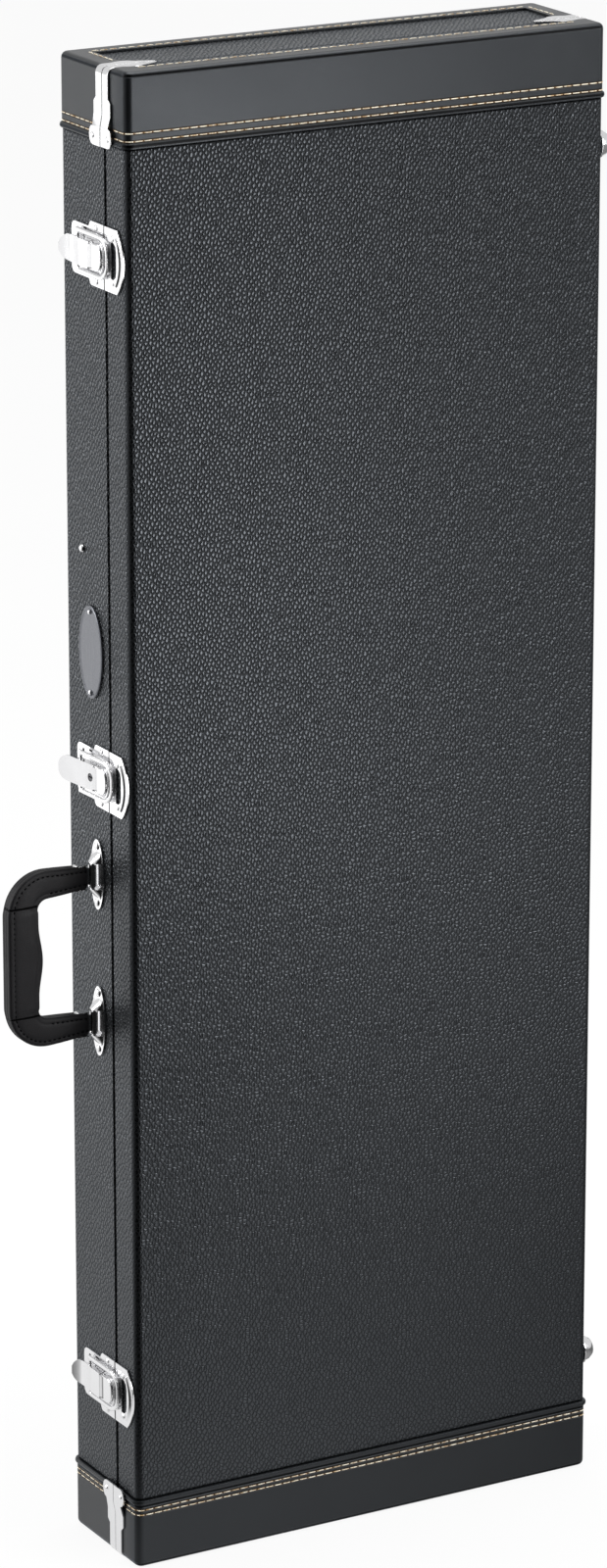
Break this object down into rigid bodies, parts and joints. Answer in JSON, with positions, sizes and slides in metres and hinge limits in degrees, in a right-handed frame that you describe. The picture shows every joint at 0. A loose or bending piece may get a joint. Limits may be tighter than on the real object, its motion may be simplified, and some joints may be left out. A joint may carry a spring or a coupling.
{
  "type": "electric guitar case",
  "caption": "Rectangular hard case for an electric guitar in grained black vinyl, with nickel draw latches, a leather handle, a hinged lid and a plush cavity.",
  "frame": {"origin": "centre of the bounding box's bottom face, with the case standing on its body end", "axes": "+Z along the case's length towards its head end, -Y out of the lid's face, -X towards the handle and latches, +X towards the hinges"},
  "size_m": [0.4488, 0.0968, 1.05],
  "materials": {
    "grained_vinyl": "pebbled black imitation leather over board",
    "smooth_vinyl": "smooth satin black vinyl",
    "nickel": "bright nickel plate",
    "dark_steel": "plain steel",
    "badge_enamel": "satin dark grey, bare",
    "handle_leather": "grained black leather",
    "plush": "short black plush",
    "ribbon": "black woven ribbon",
    "board": "thin plush on board"
  },
  "bodies": {
    "base": {"badge_plate": "badge_enamel", "base_cap_bottom": "smooth_vinyl", "base_cap_top": "smooth_vinyl", "base_clip_bottom_left": "nickel", "base_clip_bottom_right": "nickel", "base_clip_top_left": "nickel", "base_clip_top_right": "nickel", "base_liner": "plush", "base_shell": "grained_vinyl", "compartment_box": "board", "foot_base_lower": "nickel", "foot_base_upper": "nickel", "handle_bracket_lower": "nickel", "handle_bracket_upper": "nickel", "hinge_leaf_base_lower": "nickel", "hinge_leaf_base_middle": "nickel", "hinge_leaf_base_upper": "nickel", "hinge_pin_lower": "nickel", "hinge_pin_middle": "nickel", "hinge_pin_upper": "nickel", "latch_plate_lower": "nickel", "latch_plate_middle": "nickel", "latch_plate_upper": "nickel", "lever_pin_lower": "nickel", "lever_pin_middle": "nickel", "lever_pin_upper": "nickel", "neck_cradle": "plush", "wall_stud": "nickel"},
    "lid": {"catch_plate_lower": "nickel", "catch_plate_middle": "nickel", "catch_plate_upper": "nickel", "foot_lid_lower": "nickel", "foot_lid_upper": "nickel", "hinge_leaf_lid_lower": "nickel", "hinge_leaf_lid_middle": "nickel", "hinge_leaf_lid_upper": "nickel", "lid_cap_bottom": "smooth_vinyl", "lid_cap_top": "smooth_vinyl", "lid_clip_bottom_left": "nickel", "lid_clip_bottom_right": "nickel", "lid_clip_top_left": "nickel", "lid_clip_top_right": "nickel", "lid_liner": "plush", "lid_shell": "grained_vinyl"},
    "latch_upper": {"latch_lever_upper": "nickel"},
    "loop_upper": {"latch_loop_upper": "nickel"},
    "latch_middle": {"latch_lever_middle": "nickel"},
    "loop_middle": {"latch_loop_middle": "nickel"},
    "latch_lower": {"latch_lever_lower": "nickel"},
    "loop_lower": {"latch_loop_lower": "nickel"},
    "lock": {"lock_cylinder": "dark_steel"},
    "handle": {"handle_grip": "handle_leather", "handle_eye_upper": "nickel", "handle_eye_lower": "nickel"},
    "flap": {"compartment_flap": "plush", "flap_tab": "ribbon"}
  },
  "joints": [
    {"name": "lid_hinge", "type": "hinge", "parent": "base", "child": "lid", "pos_m": [0.2161, -0.0169, 0.525], "axis": [0, 0, 1], "range_deg": [0, 105]},
    {"name": "lever_upper", "type": "hinge", "parent": "base", "child": "latch_upper", "pos_m": [-0.157, -0.0063, 0.923], "axis": [0, 0, 1], "range_deg": [0, 95]},
    {"name": "loop_swing_upper", "type": "hinge", "parent": "latch_upper", "child": "loop_upper", "pos_m": [-0.1566, 0.0153, 0.923], "axis": [0, 0, 1], "range_deg": [-68.4, 0]},
    {"name": "lever_middle", "type": "hinge", "parent": "base", "child": "latch_middle", "pos_m": [-0.157, -0.0063, 0.564], "axis": [0, 0, 1], "range_deg": [0, 90]},
    {"name": "loop_swing_middle", "type": "hinge", "parent": "latch_middle", "child": "loop_middle", "pos_m": [-0.15886, 0.01522, 0.564], "axis": [0, 0, 1], "range_deg": [-64.8, 0]},
    {"name": "lever_lower", "type": "hinge", "parent": "base", "child": "latch_lower", "pos_m": [-0.157, -0.0063, 0.123], "axis": [0, 0, 1], "range_deg": [0, 95]},
    {"name": "loop_swing_lower", "type": "hinge", "parent": "latch_lower", "child": "loop_lower", "pos_m": [-0.1566, 0.0153, 0.123], "axis": [0, 0, 1], "range_deg": [-68.4, 0]},
    {"name": "lock_turn", "type": "hinge", "parent": "latch_middle", "child": "lock", "pos_m": [-0.16007, -0.00099, 0.564], "axis": [-0.9945, -0.1045, 0], "range_deg": [0, 90]},
    {"name": "handle_swing", "type": "hinge", "parent": "base", "child": "handle", "pos_m": [-0.1579, 0.0018, 0.441], "axis": [0, 0, 1], "range_deg": [-78, 78]},
    {"name": "flap_hinge", "type": "hinge", "parent": "base", "child": "flap", "pos_m": [0.1948, -0.0146, 0.6133], "axis": [0, 0, 1], "range_deg": [0, 70]}
  ],
  "couplings": [
    {"joint": "loop_swing_upper", "follows": "lever_upper", "ratio": -0.72},
    {"joint": "loop_swing_middle", "follows": "lever_middle", "ratio": -0.72},
    {"joint": "loop_swing_lower", "follows": "lever_lower", "ratio": -0.72},
    {"joint": "flap_hinge", "follows": "lid_hinge", "ratio": 0.66667}
  ]
}
